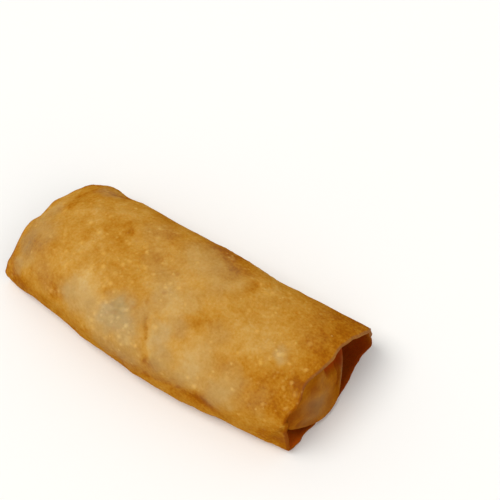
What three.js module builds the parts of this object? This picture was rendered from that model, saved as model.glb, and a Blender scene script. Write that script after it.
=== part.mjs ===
// A fried spring roll, lying on its flattened underside.
//
// One sheet of wheat wrapper goes once round a packed, filled roll. The sheet's free edge is
// stuck down low on the back, where it makes a small step. At both ends the sheet stands past
// the filled roll as an open, pinched mouth, and the roll inside is closed by its tucked skin.
//
// Millimetres. +X runs along the roll to its wide mouth, +Y across it to the back, +Z up.
// The origin is under the middle of the roll's box, on the surface that it lies on.
import * as THREE from "three";

// Driving dimensions
const rollLength = 98.2; // between the edges of the two mouths, less their lips
const rollWidth = 44; // across the belly
const rollHeight = 25; // belly height above the surface it lies on
const sheetThickness = 0.8; // one layer of fried wrapper, and the step at its free edge
const wallThickness = 1; // the outer turn, with the folded-in side of the sheet under it
const turnGap = 0.4; // air between the outer turn and the filled roll
const flattened = 0.8; // how far the round underside is pressed flat

// Mesh fineness
const aroundCount = 60;
const wrapperStations = 37;
const liningStations = 15;
const innerStations = 25;
const outlineSamples = 720;
const crowding = 0.6; // how much closer the rings stand towards the mouths

// Cross-sections of the outer turn, from the pinched left mouth to the wide right one.
// at: share of the length. near, far, crown: shares of the width, from the axis to the front
// side, to the back side and to the highest line. height: share of the height. nearWidest,
// farWidest: share of the section's own height where that side is widest. The four bulges are
// superellipse powers: 2 is an ellipse, less is pointed, more is boxy.
const wrapperSections = [
  { at: 0, near: 0.37, far: 0.49, crown: 0.02, height: 0.54, nearWidest: 0.36, farWidest: 0.44,
    topNear: 1.9, topFar: 2.1, bottomNear: 4, bottomFar: 2.4 },
  { at: 0.13, near: 0.415, far: 0.495, crown: 0.01, height: 0.82, nearWidest: 0.4, farWidest: 0.44,
    topNear: 2.2, topFar: 2.3, bottomNear: 3, bottomFar: 2.8 },
  { at: 0.36, near: 0.5, far: 0.445, crown: 0, height: 0.98, nearWidest: 0.42, farWidest: 0.45,
    topNear: 2.3, topFar: 2.4, bottomNear: 3.2, bottomFar: 3.2 },
  { at: 0.6, near: 0.525, far: 0.435, crown: 0, height: 1, nearWidest: 0.44, farWidest: 0.45,
    topNear: 2.3, topFar: 2.4, bottomNear: 3.4, bottomFar: 3.4 },
  { at: 0.86, near: 0.475, far: 0.47, crown: 0.02, height: 0.95, nearWidest: 0.42, farWidest: 0.38,
    topNear: 2.5, topFar: 2.1, bottomNear: 3.6, bottomFar: 3 },
  { at: 1, near: 0.41, far: 0.535, crown: 0.05, height: 0.9, nearWidest: 0.45, farWidest: 0.26,
    topNear: 3.4, topFar: 1.85, bottomNear: 6, bottomFar: 2.4 },
];

// Where the filled roll ends it is narrower than the mouth: it leans to the front and leaves a
// deep gap at the back.
const wideTuck = { near: 0.335, far: 0.19, crown: -0.04, height: 0.69, nearWidest: 0.55, farWidest: 0.5,
  topNear: 2.8, topFar: 5, bottomNear: 1.8, bottomFar: 4, lift: 1.45 };
const pinchedTuck = { near: 0.24, far: 0.36, crown: 0.04, height: 0.36, nearWidest: 0.45, farWidest: 0.45,
  topNear: 2.2, topFar: 2.3, bottomNear: 2.3, bottomFar: 2.3, lift: 1.45 };
const tuckTaper = 0.2; // share of the length over which the filled roll narrows to its end
const wideTuckDepth = 1.1; // how far each end stays behind the lower lip of its mouth
const pinchedTuckDepth = 6;
const tuckLean = 3.4; // and how much further it leans back at the top
const rimShare = 0.12; // share of the length by each mouth where the wall is one even layer
const seamHeight = 0.26; // where the sheet's free edge lies on the back, as a share of the height

// Rings of the closed ends: size, and how far each stands out; flap is the extra on the back
// side, where the tucked skin ends in an upright fold.
const tuckRings = [
  { size: 0.94, out: 0.8, flap: 0.9 },
  { size: 0.87, out: 1.1, flap: 0.1 },
  { size: 0.62, out: 1.4, flap: -0.2 },
  { size: 0.3, out: 1.5, flap: 0 },
];

// Soft lumps where the filling presses on the wrapper: centre, rise and reach
const fillingLumps = [
  { at: [-21, -17, 18], rise: 0.7, reach: 9 },
  { at: [-7, -15, 20], rise: 0.5, reach: 8 },
  { at: [-13, 4, 24], rise: -0.5, reach: 10 },
  { at: [14, -2, 25], rise: 0.5, reach: 11 },
  { at: [20, -18, 16], rise: -0.6, reach: 8 },
  { at: [30, 6, 23], rise: -0.5, reach: 9 },
  { at: [-30, 14, 16], rise: -0.6, reach: 9 },
  { at: [4, 19, 14], rise: 0.5, reach: 10 },
  { at: [-41, 22, 8], rise: 1.1, reach: 5 },
];

// The mouths' edges: where each one ends, how it slants across the roll, and its waves. The wide
// mouth's lower lip reaches further out and pouts in the middle; its front corner stays back.
// The pinched mouth is rounded off towards the back, and its top stays back.
const wideMouth = { x: rollLength / 2 - 1.6, slant: 0.045, lip: 2, pout: 1.1, poutY: 3, poutReach: 8, lipTop: 13,
  cornerBack: 1.3, ripple: 0.35, rippleLength: 2.3 };
const pinchedMouth = { x: -rollLength / 2 - 1.6, slant: 0.06, roundedBack: 2.2, cutCorner: 5,
  topBack: 0.8, ripple: 0.5, rippleLength: 3.1 };

// The front corner of the wide mouth is folded like a parcel: a ridge runs from the top corner
// of the mouth down and back, and the wall below it is pushed in.
const cornerFold = { mouthX: 46, mouthZ: 16, tipX: 40.5, tipZ: 4, depth: 0.9, soft: 2.5 };

const clamp = (value) => Math.min(1, Math.max(0, value));
const smooth = (from, to, value) => {
  const t = clamp((value - from) / (to - from));
  return t * t * (3 - 2 * t);
};
const mix = (a, b, t) => a + (b - a) * t;

// One named size of the cross-sections, on a smooth curve along the roll.
function sizeAlong(sections, key, s) {
  const last = sections.length - 1;
  const k = Math.min(last - 1, Math.max(0, sections.findIndex((c) => c.at > s) - 1));
  const index = s >= 1 ? last - 1 : k;
  const slope = (i) => {
    const a = sections[Math.max(0, i - 1)];
    const b = sections[Math.min(last, i + 1)];
    return (b[key] - a[key]) / (b.at - a.at);
  };
  const [a, b] = [sections[index], sections[index + 1]];
  const h = b.at - a.at;
  const t = (s - a.at) / h;
  return (
    (2 * t ** 3 - 3 * t ** 2 + 1) * a[key] +
    (t ** 3 - 2 * t ** 2 + t) * h * slope(index) +
    (3 * t ** 2 - 2 * t ** 3) * b[key] +
    (t ** 3 - t ** 2) * h * slope(index + 1)
  );
}

function sectionAt(s) {
  const found = {};
  for (const key of Object.keys(wrapperSections[0])) found[key] = sizeAlong(wrapperSections, key, s);
  return found;
}

// The closed outline of a cross-section as [y, z] points, evenly spaced, which starts at the
// sheet's free edge on the back and goes under, up the front and over the top.
function outline(section, seamShare) {
  const height = section.height * rollHeight + flattened;
  const crown = section.crown * rollWidth;
  const points = [];
  for (let i = 0; i < outlineSamples; i++) {
    const angle = (2 * Math.PI * i) / outlineSamples;
    const [sn, cs] = [Math.sin(angle), Math.cos(angle)];
    const [front, under] = [sn >= 0, cs > 0];
    const side = front ? "Near" : "Far";
    const power = 2 / section[(under ? "bottom" : "top") + side];
    const reach = front ? crown + section.near * rollWidth : section.far * rollWidth - crown;
    const widest = section[front ? "nearWidest" : "farWidest"] * height;
    const y = crown - Math.sign(sn) * reach * Math.abs(sn) ** power;
    const z = under
      ? widest * (1 - Math.abs(cs) ** power)
      : widest + (height - widest) * Math.abs(cs) ** power;
    points.push([y, z]);
  }
  const seamZ = seamShare * height;
  const behind = Math.floor(outlineSamples / 2);
  let start = behind;
  while (points[start][1] > seamZ) start++;
  const ordered = [...points.slice(start), ...points.slice(0, start + 1)];
  const lengths = [0];
  for (let i = 1; i < ordered.length; i++) {
    const step = Math.hypot(ordered[i][0] - ordered[i - 1][0], ordered[i][1] - ordered[i - 1][1]);
    lengths.push(lengths[i - 1] + step);
  }
  const total = lengths[lengths.length - 1];
  const even = [];
  let k = 1;
  for (let i = 0; i <= aroundCount; i++) {
    const want = (total * i) / aroundCount;
    while (k < lengths.length - 1 && lengths[k] < want) k++;
    const t = clamp((want - lengths[k - 1]) / (lengths[k] - lengths[k - 1]));
    even.push([mix(ordered[k - 1][0], ordered[k][0], t), mix(ordered[k - 1][1], ordered[k][1], t)]);
  }
  return even;
}

// Outward normals of an outline whose first and last points are the same place.
function outwardNormals(points) {
  const n = points.length - 1;
  return points.map((_, i) => {
    const before = points[(i % n === 0 ? n : i % n) - 1];
    const after = points[(i % n) + 1];
    const [dy, dz] = [after[0] - before[0], after[1] - before[1]];
    const size = Math.hypot(dy, dz);
    return [-dz / size, dy / size];
  });
}

// Where the two mouths end along x, over the height and across the roll.
function wideRim(y, z) {
  const { x, slant, lip, pout, poutY, poutReach, lipTop, cornerBack, ripple, rippleLength } = wideMouth;
  const pouting = pout * Math.exp(-(((y - poutY) / poutReach) ** 2));
  const lower = (lip + pouting) * (1 - smooth(2, lipTop, z));
  const corner = cornerBack * smooth(-12, -17, y);
  const wave = ripple * Math.sin(y / rippleLength + 1.2) * smooth(6, 14, z);
  return x + slant * y + lower - corner + wave;
}
function pinchedRim(y, z) {
  const { x, slant, roundedBack, cutCorner, topBack, ripple, rippleLength } = pinchedMouth;
  const behind = roundedBack * smooth(6, 18, y) + cutCorner * smooth(19, 25, y);
  const wave = ripple * (Math.sin(y / rippleLength - 0.6) + 0.5 * Math.sin(y / 1.3));
  return x + slant * y + behind + topBack * smooth(4, 13, z) + wave;
}

// How far the wrapper's surface stands out from the plain outline.
function relief(x, y, z) {
  let rise = 0;
  for (const lump of fillingLumps) {
    const d2 = (x - lump.at[0]) ** 2 + (y - lump.at[1]) ** 2 + (z - lump.at[2]) ** 2;
    rise += lump.rise * Math.exp(-d2 / lump.reach ** 2);
  }
  const { mouthX, mouthZ, tipX, tipZ, depth, soft } = cornerFold;
  const ridgeZ = mix(tipZ, mouthZ, (x - tipX) / (mouthX - tipX));
  const below = smooth(0, soft, ridgeZ - z) * smooth(tipX, tipX + 4, x) * smooth(-8, -13, y);
  return rise - depth * below * smooth(0, 8, z);
}

const seamAlong = (s) => seamHeight + 0.05 * Math.sin(7 * s + 0.5) + 0.02 * Math.sin(19 * s);
const pressFlat = (z) => Math.max(0, z - flattened);

// How far the sheet's outside stands out from the outline at one point: a little more with each
// step round from its free edge, so that it overlaps itself there.
const outsideAt = (i, x, y, z) => (sheetThickness * i) / aroundCount + relief(x, y, z);

// The lining runs smoothly inside, and follows the outside only near the mouths.
function liningAt(s, i, x, y, z) {
  const atMouth = 1 - smooth(0, rimShare, s) * smooth(0, rimShare, 1 - s);
  return atMouth * outsideAt(i, x, y, z) - wallThickness;
}

// One ring of the outer turn: its outside, or its lining further in.
function wrapperRing(s, lining) {
  const points = outline(sectionAt(s), seamAlong(s));
  const normals = outwardNormals(points);
  return points.map(([y, z], i) => {
    const x = mix(pinchedRim(y, z), wideRim(y, z), s);
    const out = lining ? liningAt(s, i, x, y, z) : outsideAt(i, x, y, z);
    const floor = lining ? wallThickness : 0;
    return [x, y + normals[i][0] * out, Math.max(floor, pressFlat(z + normals[i][1] * out))];
  });
}

// One ring of the filled roll, at a share t of its own length: just inside the lining in the
// body, its own shape at the ends, where it also leans back.
function innerRing(t) {
  const s = mix(pinchedTuckDepth / rollLength, 1 - wideTuckDepth / rollLength, t);
  const points = outline(sectionAt(s), seamAlong(s));
  const normals = outwardNormals(points);
  const share = Math.max(smooth(1 - tuckTaper, 1, t), smooth(tuckTaper, 0, t));
  const [tuck, inwards] = t > 0.5 ? [wideTuck, -1] : [pinchedTuck, 1];
  const tucked = outline(tuck, 0.5);
  return points.slice(0, aroundCount).map(([y, z], i) => {
    const x = mix(pinchedRim(y, z), wideRim(y, z), s);
    const out = Math.min(liningAt(s, i, x, y, z), -wallThickness) - turnGap;
    const bodyY = y + normals[i][0] * out;
    const bodyZ = Math.max(wallThickness + turnGap, pressFlat(z + normals[i][1] * out));
    const [endY, endZ] = [mix(bodyY, tucked[i][0], share), mix(bodyZ, tucked[i][1] + tuck.lift, share)];
    return [x + inwards * share * tuckLean * smooth(1, 22, endZ), endY, endZ];
  });
}

// The closed end over the last ring of the filled roll, standing out along x.
function tuckOver(ring, direction) {
  const centre = [0, 1, 2].map((axis) => ring.reduce((sum, p) => sum + p[axis], 0) / ring.length);
  const reach = Math.max(...ring.map((p) => p[1])) - centre[1];
  const rings = tuckRings.map(({ size, out, flap }) =>
    ring.map((p) => {
      const behind = smooth(0.35, 0.85, (p[1] - centre[1]) / reach);
      const at = [0, 1, 2].map((axis) => mix(centre[axis], p[axis], size));
      return [at[0] + direction * (out + flap * behind), at[1], at[2]];
    }),
  );
  const last = tuckRings[tuckRings.length - 1];
  return { rings, tip: [centre[0] + direction * last.out, centre[1], centre[2]] };
}

// Joins rings of equal size into a surface; the rings run from the pinched mouth to the wide one.
function skin(vertices, triangles, rings, outward) {
  const start = vertices.length;
  const n = rings[0].length;
  rings.forEach((ring) => vertices.push(...ring));
  const at = (i, j) => start + i * n + (j % n);
  for (let i = 0; i + 1 < rings.length; i++) {
    for (let j = 0; j < n; j++) {
      const [a, b, c, d] = [at(i, j), at(i, j + 1), at(i + 1, j + 1), at(i + 1, j)];
      const faces = outward ? [[a, c, b], [a, d, c]] : [[a, b, c], [a, c, d]];
      triangles.push(...faces);
    }
  }
  return { first: start, last: start + (rings.length - 1) * n, n };
}

function band(triangles, from, to, n) {
  for (let j = 0; j < n; j++) {
    const k = (j + 1) % n;
    triangles.push([from + k, from + j, to + j], [from + k, to + j, to + k]);
  }
}

function fan(vertices, triangles, ringStart, n, tip, flip) {
  const index = vertices.push(tip) - 1;
  for (let j = 0; j < n; j++) {
    const k = (j + 1) % n;
    triangles.push(flip ? [index, ringStart + k, ringStart + j] : [index, ringStart + j, ringStart + k]);
  }
}

function meshOf(name, vertices, triangles, colour, roughness) {
  const geometry = new THREE.BufferGeometry();
  geometry.setAttribute("position", new THREE.Float32BufferAttribute(vertices.flat(), 3));
  geometry.setIndex(triangles.flat());
  geometry.computeVertexNormals();
  const material = new THREE.MeshStandardMaterial({ color: colour, roughness, metalness: 0 });
  const mesh = new THREE.Mesh(geometry, material);
  mesh.name = name;
  return mesh;
}

// Shares of the length for the rings, closer together towards both mouths.
function stations(count) {
  return Array.from({ length: count }, (_, i) => {
    const t = i / (count - 1);
    return mix(t, smooth(0, 1, t), crowding);
  });
}

// The outer turn: outside, lining, and a rim at each mouth.
function makeWrapper() {
  const vertices = [];
  const triangles = [];
  const outerRings = stations(wrapperStations).map((s) => wrapperRing(s, false));
  const liningRings = stations(liningStations).map((s) => wrapperRing(s, true));
  const outside = skin(vertices, triangles, outerRings, true);
  const lining = skin(vertices, triangles, liningRings, false);
  band(triangles, outside.last, lining.last, outside.n);
  band(triangles, lining.first, outside.first, outside.n);
  return meshOf("outer_wrapper", vertices, triangles, 0xc8923c, 0.5);
}

// The filled roll inside, closed at both ends by its own tucked-in skin.
function makeInnerRoll() {
  const vertices = [];
  const triangles = [];
  const body = stations(innerStations).map((s) => innerRing(s));
  const left = tuckOver(body[0], -1);
  const right = tuckOver(body[body.length - 1], 1);
  const side = skin(vertices, triangles, [...left.rings.reverse(), ...body, ...right.rings], true);
  fan(vertices, triangles, side.first, side.n, left.tip, false);
  fan(vertices, triangles, side.last, side.n, right.tip, true);
  return meshOf("inner_roll", vertices, triangles, 0xa87434, 0.55);
}

const springRoll = new THREE.Group();
springRoll.add(makeWrapper(), makeInnerRoll());

// Sets the middle of the wrapper's box over the origin.
const box = new THREE.Box3().setFromObject(springRoll.children[0]);
const middle = box.getCenter(new THREE.Vector3());
for (const mesh of springRoll.children) mesh.geometry.translate(-middle.x, -middle.y, -box.min.z);

export default springRoll;
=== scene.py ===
import math

import bpy
import numpy as np
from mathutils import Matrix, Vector, kdtree


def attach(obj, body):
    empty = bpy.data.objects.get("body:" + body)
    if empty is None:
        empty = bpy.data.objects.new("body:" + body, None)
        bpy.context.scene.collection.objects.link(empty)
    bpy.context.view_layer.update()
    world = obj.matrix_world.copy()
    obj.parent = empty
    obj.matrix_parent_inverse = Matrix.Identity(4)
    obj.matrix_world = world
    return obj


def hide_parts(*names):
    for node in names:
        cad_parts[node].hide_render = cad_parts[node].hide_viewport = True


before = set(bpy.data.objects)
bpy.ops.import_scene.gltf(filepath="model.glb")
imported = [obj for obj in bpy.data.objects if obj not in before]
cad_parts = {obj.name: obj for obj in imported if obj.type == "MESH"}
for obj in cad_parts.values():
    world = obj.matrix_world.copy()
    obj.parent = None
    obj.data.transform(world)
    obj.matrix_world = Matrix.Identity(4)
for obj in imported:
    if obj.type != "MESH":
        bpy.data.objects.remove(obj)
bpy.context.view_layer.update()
print("frame loaded")


# Small helpers
def smooth(start, end, value):
    t = np.clip((value - start) / (end - start), 0, 1)
    return t * t * (3 - 2 * t)


def mix(a, b, t):
    return a + (b - a) * t


def randomWaves(points, size, seed, stretch=(1, 1, 1), count=26):
    # a smooth random field of about -1 to 1, whose humps are about half of size across
    dice = np.random.default_rng(seed)
    directions = dice.normal(size=(count, 3))
    directions /= np.linalg.norm(directions, axis=1, keepdims=True)
    lengths = size * dice.uniform(0.7, 1.5, (count, 1))
    phases = dice.uniform(0, 2 * math.pi, count)
    waves = np.sin((points / np.array(stretch)) @ (directions * 2 * math.pi / lengths).T + phases)
    return waves.sum(axis=1) / math.sqrt(count)


def spotAt(points, centre, reach, power=2):
    # 1 at the centre, falling off smoothly near reach; a higher power has a flatter middle
    return np.exp(-(np.linalg.norm(points - np.array(centre), axis=1) / reach) ** power)


def spotsTotal(points, spots, power=2):
    # spots are x, y, z, reach, amount
    return sum(amount * spotAt(points, centre, reach, power) for *centre, reach, amount in spots)


def wandered(points, depth, size, seeds):
    # the points moved a little, so that outlines laid by them wander
    return points + depth * np.stack([randomWaves(points, size, seed) for seed in seeds], axis=1)


# The roll's shape. A pair of heights, sides or shares is the range over which a thing sets in
# or dies away.
roll = dict(
    length=98.2,      # between the edges of the two mouths, less their lips
    width=44.0,       # across the belly
    height=25.0,      # belly height
    sheet=0.8,        # one layer of fried wrapper, and the step at its free edge
    wall=0.85,        # the outer turn where it shows, at the mouths
    gap=0.55,         # air between the outer turn and the filled roll
    flattened=0.8,    # how far the underside is pressed flat
    samples=1440,     # points from which each outline is drawn
    # cross-sections from the pinched left mouth to the wide right one, as shares of width and
    # height; the last four rows are superellipse powers: 2 is round, more is boxy
    sections=dict(
        at=(0, 0.13, 0.36, 0.6, 0.86, 1),
        near=(0.37, 0.415, 0.5, 0.525, 0.475, 0.41),
        far=(0.49, 0.495, 0.445, 0.435, 0.47, 0.535),
        crown=(0.02, 0.01, 0, 0, 0.02, 0.05),
        height=(0.54, 0.82, 0.98, 1, 0.95, 0.9),
        nearWidest=(0.36, 0.4, 0.42, 0.44, 0.42, 0.45),
        farWidest=(0.44, 0.44, 0.45, 0.45, 0.38, 0.26),
        topNear=(1.9, 2.2, 2.3, 2.3, 2.5, 3.4),
        topFar=(2.1, 2.3, 2.4, 2.4, 2.1, 1.85),
        bottomNear=(4, 3, 3.2, 3.4, 3.6, 6),
        bottomFar=(2.4, 2.8, 3.2, 3.4, 3, 2.4),
    ),
    # the wide mouth leans back with y, its lower lip stands out and its near corner falls back
    wideMouth=dict(
        x=47.5, slant=0.045, lip=2.0, lipZ=(2, 13), pout=1.1, poutY=3.0, poutReach=8.0,
        cornerBack=1.3, cornerY=(-12, -17), ripple=0.35, rippleLength=2.3, ripplePhase=1.2,
        rippleZ=(6, 14), trimShare=(0.72, 1),
    ),
    pinchedMouth=dict(
        x=-50.7, slant=0.06, roundedBack=2.2, roundedY=(6, 18), cutCorner=5.0, cutY=(19, 25),
        topBack=0.8, topZ=(4, 13), ripple=0.5, rippleLength=3.1, ripplePhase=-0.6, fineShare=0.5,
        fineLength=1.3, trimShare=(0.2, 0),
    ),
    trimSteps=720, trimSoftness=0.008,
    # the near corner of the wide mouth is pressed in under a ridge from its tip to the mouth
    cornerFold=dict(mouthX=46.0, mouthZ=16.0, tipX=40.5, tipZ=4.0, tipLength=4.0,
                    depth=0.9, soft=2.0, nearY=(-8, -13), footZ=(0, 8)),
    # where the free edge lies on the back, as a share of the height, and how it wanders
    freeEdge=dict(height=0.26, wave=0.05, waveTurn=7, wavePhase=0.5, flutter=0.02, flutterTurn=19),
)
# How the cut edge of each mouth wanders: share of the way round from the free edge, and how far
# it stands out of its plain line
wideTrim = (
    (0.0, 0.2), (0.02, 0.0), (0.04, 0.3), (0.07, -0.7), (0.15, 0.0), (0.26, 0.1), (0.34, -0.3),
    (0.39, 0.6), (0.47, 1.7), (0.53, 2.1), (0.56, 0.9), (0.59, 0.9), (0.65, -0.2), (0.73, 0.6),
    (0.81, 1.4), (0.84, 1.3), (0.88, 2.2), (0.91, 2.5), (0.94, 2.1), (0.97, 1.2),
)
pinchedTrim = (
    (0.02, 0.6), (0.2, 0.3), (0.4, -0.6), (0.46, -1.2), (0.52, -0.2), (0.575, -0.35), (0.62, 0.55),
    (0.685, -0.5), (0.78, 0.75), (0.86, -0.45), (0.9, -0.2), (0.94, -1.0),
)
# Soft lumps where the filling presses on the wrapper: x, y, z, reach, rise
fillingLumps = (
    (-21, -17, 18, 9, 0.7), (-7, -15, 20, 8, 0.5), (-13, 4, 24, 10, -0.5),
    (14, -2, 25, 11, 0.5), (20, -18, 16, 8, -0.6), (30, 6, 23, 9, -0.5),
    (-30, 14, 16, 9, -0.6), (4, 19, 14, 10, 0.5), (-39.5, 22, 8, 5, 1.2), (-25, -21, 10, 7, -0.8),
    (39.5, -20, 5, 5, -0.5), (-32, 19, 15, 6, -0.8), (-43, -17, 3, 5, 0.6), (30, -22, 4, 5, -0.4),
    (-42, 18.5, 14, 4.5, 0.7), (49, 22.5, 9.5, 3.5, -0.8), (-14, -22, 8, 5, -0.4),
    (9, 18, 15, 7, 0.35), (35, 20, 12, 7, 0.5),
)


def alongRoll(name, s):
    # one row of the cross-sections on a smooth curve along the roll
    at, value = (np.array(roll["sections"][row], float) for row in ("at", name))
    last = len(at) - 1
    before, after = np.maximum(np.arange(last + 1) - 1, 0), np.minimum(np.arange(last + 1) + 1, last)
    slope = (value[after] - value[before]) / (at[after] - at[before])
    k = min(int(np.searchsorted(at, s, side="right")) - 1, last - 1)
    h = at[k + 1] - at[k]
    t = (s - at[k]) / h
    return ((2 * t ** 3 - 3 * t ** 2 + 1) * value[k] + (t ** 3 - 2 * t ** 2 + t) * h * slope[k]
            + (3 * t ** 2 - 2 * t ** 3) * value[k + 1] + (t ** 3 - t ** 2) * h * slope[k + 1])


def sectionAt(s):
    return {name: alongRoll(name, s) for name in roll["sections"]}


def outline(section, seamShare, count):
    # even (y, z) points from the free edge on the back: under, up the front, over the top
    height = section["height"] * roll["height"] + roll["flattened"]
    crown = section["crown"] * roll["width"]
    angle = np.linspace(0, 2 * math.pi, roll["samples"] + 1)
    sn, cs = np.sin(angle), np.cos(angle)
    front, under = sn >= 0, cs > 0
    power = 2 / np.where(front, np.where(under, section["bottomNear"], section["topNear"]),
                         np.where(under, section["bottomFar"], section["topFar"]))
    reach = np.where(front, crown + section["near"] * roll["width"],
                     section["far"] * roll["width"] - crown)
    widest = np.where(front, section["nearWidest"], section["farWidest"]) * height
    y = crown - np.sign(sn) * reach * np.abs(sn) ** power
    rise = np.abs(cs) ** power
    z = np.where(under, widest * (1 - rise), widest + (height - widest) * rise)
    lengths = np.concatenate([[0], np.cumsum(np.hypot(np.diff(y), np.diff(z)))])
    behind = roll["samples"] // 2
    start = np.interp(-seamShare * height, -z[behind:], lengths[behind:])
    want = (start + np.linspace(0, lengths[-1], count + 1)) % lengths[-1]
    return np.stack([np.interp(want, lengths, y), np.interp(want, lengths, z)], axis=1)


def outwardNormals(points):
    n = len(points) - 1
    index = np.arange(n + 1)
    step = points[index % n + 1] - points[(index - 1) % n]
    return np.stack([-step[:, 1], step[:, 0]], axis=1) / np.hypot(*step.T)[:, None]


def wideRim(y, z):
    # where the cut edge of the wide mouth stands along the roll
    m = roll["wideMouth"]
    pouting = m["pout"] * np.exp(-((y - m["poutY"]) / m["poutReach"]) ** 2)
    lower = (m["lip"] + pouting) * (1 - smooth(*m["lipZ"], z))
    wave = m["ripple"] * np.sin(y / m["rippleLength"] + m["ripplePhase"]) * smooth(*m["rippleZ"], z)
    return m["x"] + m["slant"] * y + lower - m["cornerBack"] * smooth(*m["cornerY"], y) + wave


def pinchedRim(y, z):
    m = roll["pinchedMouth"]
    behind = m["roundedBack"] * smooth(*m["roundedY"], y) + m["cutCorner"] * smooth(*m["cutY"], y)
    broad = np.sin(y / m["rippleLength"] + m["ripplePhase"])
    wave = m["ripple"] * (broad + m["fineShare"] * np.sin(y / m["fineLength"]))
    return m["x"] + m["slant"] * y + behind + m["topBack"] * smooth(*m["topZ"], z) + wave


def trimAt(share, trim):
    # a closed smooth curve through the trim's points
    fine = np.linspace(0, 1, roll["trimSteps"] + 1)[:-1]
    value = np.interp(fine, *np.array(trim).T, period=1)
    blur = np.exp(-(np.minimum(fine, 1 - fine) / roll["trimSoftness"]) ** 2)
    soft = np.fft.irfft(np.fft.rfft(value) * np.fft.rfft(blur / blur.sum()), len(fine))
    return np.interp(share, fine, soft, period=1)


def ringAt(s, count):
    # one ring of the plain wrapper: its points, its outward normals, and the share round
    share = np.linspace(0, 1, count + 1)
    ring = outline(sectionAt(s), seamAlong(s), count)
    x = mix(pinchedRim(*ring.T), wideRim(*ring.T), s)
    x = x + trimAt(share, wideTrim) * smooth(*roll["wideMouth"]["trimShare"], s)
    x = x - trimAt(share, pinchedTrim) * smooth(*roll["pinchedMouth"]["trimShare"], s)
    return np.column_stack([x, ring]), outwardNormals(ring), share


def relief(points):
    # how far the wrapper stands out from the plain outline
    x, y, z = points.T
    f = roll["cornerFold"]
    ridgeZ = mix(f["tipZ"], f["mouthZ"], (x - f["tipX"]) / (f["mouthX"] - f["tipX"]))
    below = smooth(0, f["soft"], ridgeZ - z) * smooth(f["tipX"], f["tipX"] + f["tipLength"], x)
    fold = f["depth"] * below * smooth(*f["nearY"], y) * smooth(*f["footZ"], z)
    return spotsTotal(points, fillingLumps) - fold


def seamAlong(s):
    e = roll["freeEdge"]
    wave = e["wave"] * math.sin(e["waveTurn"] * s + e["wavePhase"])
    return e["height"] + wave + e["flutter"] * math.sin(e["flutterTurn"] * s)


def pressFlat(z):
    return np.maximum(0, z - roll["flattened"])


def stations(count, crowding):
    t = np.linspace(0, 1, count)
    return mix(t, smooth(0, 1, t), crowding)


# From the shape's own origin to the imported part's, under the middle of its box
toFrame = np.array((0.408, -0.381, 0))


# Meshes
def placed(name, data):
    # a new object of the scene
    thing = bpy.data.objects.new(name, data)
    bpy.context.scene.collection.objects.link(thing)
    return thing


def gridFaces(rings, count, closedAcross):
    i, j = np.meshgrid(np.arange(rings if closedAcross else rings - 1), np.arange(count),
                       indexing="ij")
    a, b = i * count + j, i * count + (j + 1) % count
    c, d = ((i + 1) % rings) * count + (j + 1) % count, ((i + 1) % rings) * count + j
    return np.stack([a, d, c, b], axis=-1).reshape(-1, 4).tolist()


def meshFromGrid(name, grid, closedAcross, attributes, caps=()):
    # rings of points joined into quads; caps are fans over the first or last ring
    rings, count = grid.shape[:2]
    vertices = list((grid.reshape(-1, 3) + toFrame) / 1000)
    faces = gridFaces(rings, count, closedAcross)
    for ring, tip in caps:
        index, start = len(vertices), ring * count
        vertices.append((np.array(tip) + toFrame) / 1000)
        for k in range(count):
            pair = (start + k, start + (k + 1) % count)
            faces.append((index, *pair) if ring == 0 else (index, *pair[::-1]))
    mesh = bpy.data.meshes.new(name)
    mesh.from_pydata([tuple(v) for v in vertices], [], faces)
    for label, values in attributes.items():
        values = values.ravel()
        tips = np.full(len(vertices) - len(values), values[-1])
        layer = mesh.attributes.new(label, "FLOAT", "POINT")
        layer.data.foreach_set("value", np.concatenate([values, tips]).astype(np.float32))
    mesh.shade_smooth()
    mesh.validate()
    return placed(name, mesh)


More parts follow.
